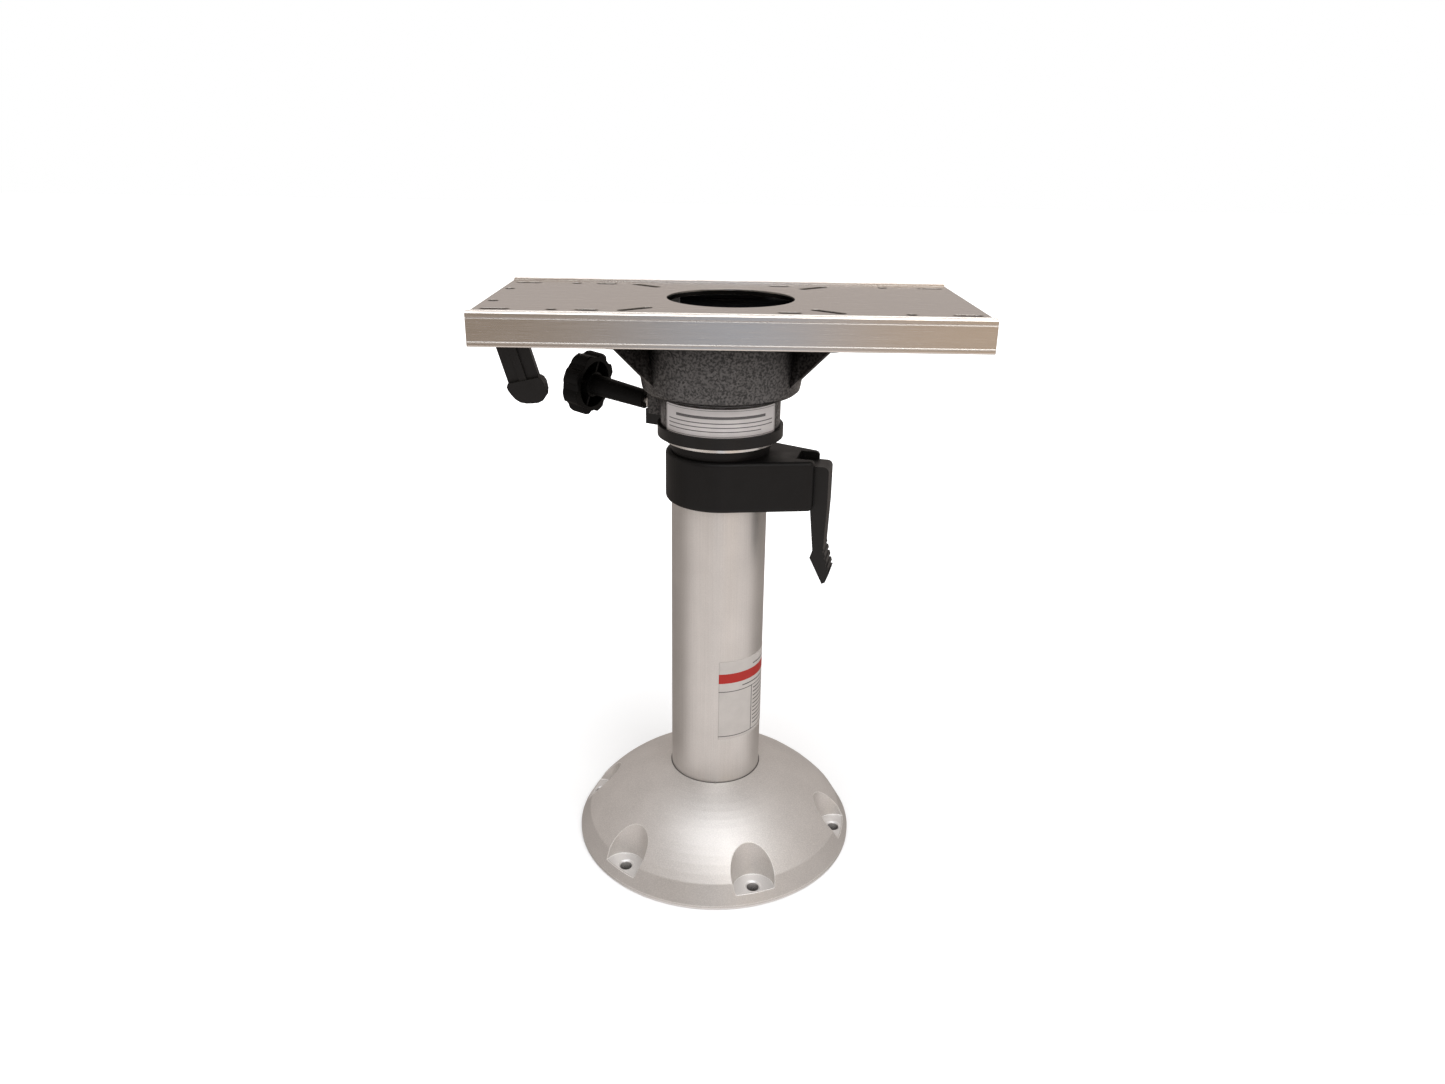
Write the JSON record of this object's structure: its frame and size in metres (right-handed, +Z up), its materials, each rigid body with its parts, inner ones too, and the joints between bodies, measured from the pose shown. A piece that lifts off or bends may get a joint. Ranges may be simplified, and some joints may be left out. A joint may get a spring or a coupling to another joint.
{
  "type": "boat seat pedestal",
  "caption": "Height-adjustable boat seat pedestal: domed cast base, telescopic post with cam clamp, lockable swivel head and latched seat slide.",
  "frame": {"origin": "centre of the base underside, on the post axis", "axes": "+Z up the post, +X along the seat plate towards the side with the clamp lever, -Y towards the long side that faces the viewer of the picture"},
  "size_m": [0.339, 0.229, 0.447],
  "materials": {
    "cast_aluminium": "fine speckled silver-grey coat on a casting, satin",
    "post_aluminium": "satin anodised extruded tube",
    "riser_aluminium": "drawn tube, satin",
    "spindle_aluminium": "turned, bright",
    "plate_aluminium": "extruded and brushed along its length, bright edge beads",
    "hammertone": "dark grey hammered enamel, semi-gloss",
    "black_plastic": "black moulded plastic, satin",
    "clamp_plastic": "black moulded plastic, fine grain, satin",
    "lever_plastic": "black moulded plastic, satin",
    "collar_plastic": "black moulded plastic, satin",
    "knob_plastic": "black moulded plastic, satin",
    "grip_plastic": "black moulded plastic, satin",
    "glide_plastic": "black low-friction plastic",
    "grey_plastic": "grey glass-filled plastic",
    "white_plastic": "natural acetal",
    "steel": "turned steel rod",
    "spring_steel": "spring wire",
    "galvanised_steel": "galvanised pressed steel",
    "zinc_steel": "zinc-plated steel"
  },
  "bodies": {
    "post": {"base": "cast_aluminium", "outer_tube": "post_aluminium", "tube_bushing": "black_plastic", "clamp_housing": "clamp_plastic", "clamp_pin": "steel"},
    "lever": {"clamp_lever": "lever_plastic"},
    "shoe": {"clamp_shoe": "grey_plastic"},
    "riser": {"inner_tube": "riser_aluminium", "inner_guide": "black_plastic", "swivel_spindle": "spindle_aluminium"},
    "head": {"swivel_collar": "collar_plastic", "swivel_head": "hammertone", "head_bushing": "white_plastic", "lock_guide": "steel", "lock_spring": "spring_steel", "lower_slide": "galvanised_steel", "head_bolts": "zinc_steel", "head_washers": "zinc_steel", "front_glide": "glide_plastic", "back_glide": "glide_plastic", "stop_pin": "zinc_steel", "latch_bracket": "galvanised_steel", "latch_pin": "steel", "latch_spring": "spring_steel"},
    "plunger": {"lock_pin": "steel", "lock_knob": "knob_plastic"},
    "slide": {"upper_slide": "plate_aluminium", "latch_strip": "galvanised_steel", "slide_stops": "black_plastic"},
    "latch": {"slide_latch": "zinc_steel", "slide_handle": "grip_plastic"}
  },
  "joints": [
    {"name": "clamp_lever_hinge", "type": "hinge", "parent": "post", "child": "lever", "pos_m": [0.06889, -0.01718, 0.322], "axis": [-0.2419, -0.9703, 0], "range_deg": [0, 90]},
    {"name": "clamp_shoe_slide", "type": "slide", "parent": "post", "child": "shoe", "axis": [0.9703, -0.2419, 0], "range_m": [0, 0.001]},
    {"name": "height_slide", "type": "slide", "parent": "post", "child": "riser", "axis": [0, 0, 1], "range_m": [0, 0.16]},
    {"name": "seat_swivel", "type": "hinge", "parent": "riser", "child": "head", "pos_m": [0, 0, 0.36], "axis": [0, 0, 1], "continuous": true},
    {"name": "lock_plunger", "type": "slide", "parent": "head", "child": "plunger", "axis": [-0.8605, 0.4968, 0.1132], "range_m": [0, 0.006], "stiffness_N_per_m": 900, "springref_m": -0.008, "deforming": ["lock_spring"]},
    {"name": "seat_slide", "type": "slide", "parent": "head", "child": "slide", "axis": [1, 0, 0], "range_m": [-0.056, 0.044]},
    {"name": "slide_latch_hinge", "type": "hinge", "parent": "head", "child": "latch", "pos_m": [-0.125, -0.03, 0.4345], "axis": [0, 1, 0], "range_deg": [0, 12], "stiffness_Nm_per_rad": 0.4, "springref_deg": -11.46}
  ],
  "couplings": [
    {"joint": "clamp_shoe_slide", "follows": "clamp_lever_hinge", "m_per_rad": 0.00057}
  ]
}
